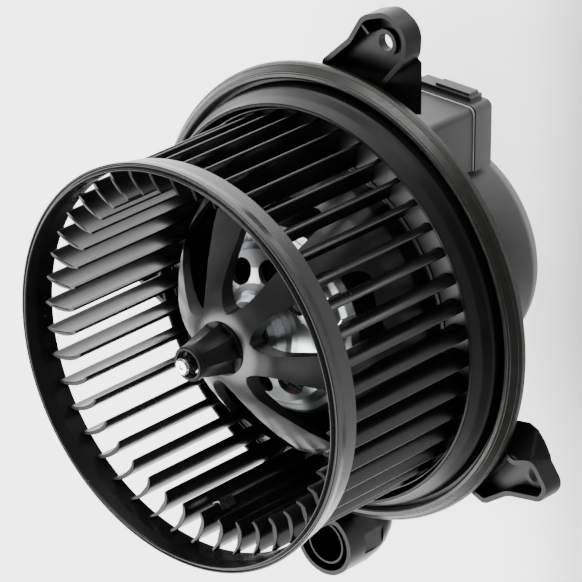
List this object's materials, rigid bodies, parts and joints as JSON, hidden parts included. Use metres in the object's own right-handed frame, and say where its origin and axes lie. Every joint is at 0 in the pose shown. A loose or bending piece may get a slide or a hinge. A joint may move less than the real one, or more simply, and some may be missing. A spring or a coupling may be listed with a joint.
{
  "type": "blower motor wheel",
  "caption": "Car heater blower: a caged centrifugal fan wheel on an electric motor, with a round sealed mounting flange, ears, cooling duct and connector.",
  "frame": {"origin": "on the shaft axis, at the flat back of the rear cover", "axes": "+Z along the shaft towards the wheel's open end, +Y towards the ear beside the connector, +X to the right seen from the open end"},
  "size_m": [0.1982, 0.2206, 0.1512],
  "materials": {
    "wheel_black": "satin black moulding",
    "hub_black": "satin black moulding",
    "housing_black": "satin black moulding",
    "cover_grey": "satin dark grey moulding",
    "lid_grey": "satin dark grey moulding",
    "rubber": "matt",
    "steel": "ground",
    "zinc": "zinc plated",
    "spring_steel": "oiled",
    "silicon_steel": "laminated",
    "copper": "bare copper",
    "enamel_wire": "enamelled copper wire",
    "ferrite": "sintered",
    "bronze": "sintered, oiled",
    "carbon": "pressed carbon",
    "phenolic": "moulded",
    "nylon": "moulded"
  },
  "bodies": {
    "housing": {"thrust_washer_rear": "nylon", "motor_can": "zinc", "magnet_left": "ferrite", "magnet_right": "ferrite", "magnet_clip_top": "spring_steel", "magnet_clip_bottom": "spring_steel", "front_bearing": "bronze", "front_bearing_retainer": "spring_steel", "rear_bearing": "bronze", "can_end_plate": "zinc", "brush_plate": "phenolic", "brush_spring_left": "spring_steel", "brush_spring_right": "spring_steel", "choke_core_left": "ferrite", "choke_core_right": "ferrite", "choke_coil_left": "enamel_wire", "choke_coil_right": "enamel_wire", "mount_flange": "housing_black", "flange_seal": "rubber", "motor_isolator_1": "rubber", "motor_isolator_2": "rubber", "motor_isolator_3": "rubber", "rear_cover": "cover_grey", "cover_screw_1": "zinc", "cover_screw_2": "zinc", "cover_screw_3": "zinc", "cover_screw_4": "zinc", "cooling_duct": "housing_black", "duct_liner": "housing_black", "connector_housing": "cover_grey", "connector_lid": "lid_grey", "connector_terminal_1": "copper", "connector_terminal_2": "copper", "connector_terminal_3": "copper"},
    "rotor": {"wheel_front_ring": "wheel_black", "wheel_cage": "wheel_black", "wheel_hub": "hub_black", "wheel_lock_clip": "spring_steel", "balance_clip_1": "spring_steel", "balance_clip_2": "spring_steel", "balance_clip_3": "spring_steel", "rotor_shaft": "steel", "armature_core": "silicon_steel", "winding_front": "enamel_wire", "winding_rear": "enamel_wire", "commutator": "copper", "thrust_washer_front": "nylon"},
    "brush_left": {"brush_left": "carbon"},
    "brush_right": {"brush_right": "carbon"}
  },
  "joints": [
    {"name": "rotor_spin", "type": "hinge", "parent": "housing", "child": "rotor", "pos_m": [0, 0, 0.1], "axis": [0, 0, 1], "continuous": true},
    {"name": "brush_left_slide", "type": "slide", "parent": "housing", "child": "brush_left", "axis": [-1, 0, 0], "range_m": [0, 0.004], "stiffness_N_per_m": 120, "springref_m": -0.01, "deforming": ["brush_spring_left"]},
    {"name": "brush_right_slide", "type": "slide", "parent": "housing", "child": "brush_right", "axis": [1, 0, 0], "range_m": [0, 0.004], "stiffness_N_per_m": 120, "springref_m": -0.01, "deforming": ["brush_spring_right"]}
  ]
}
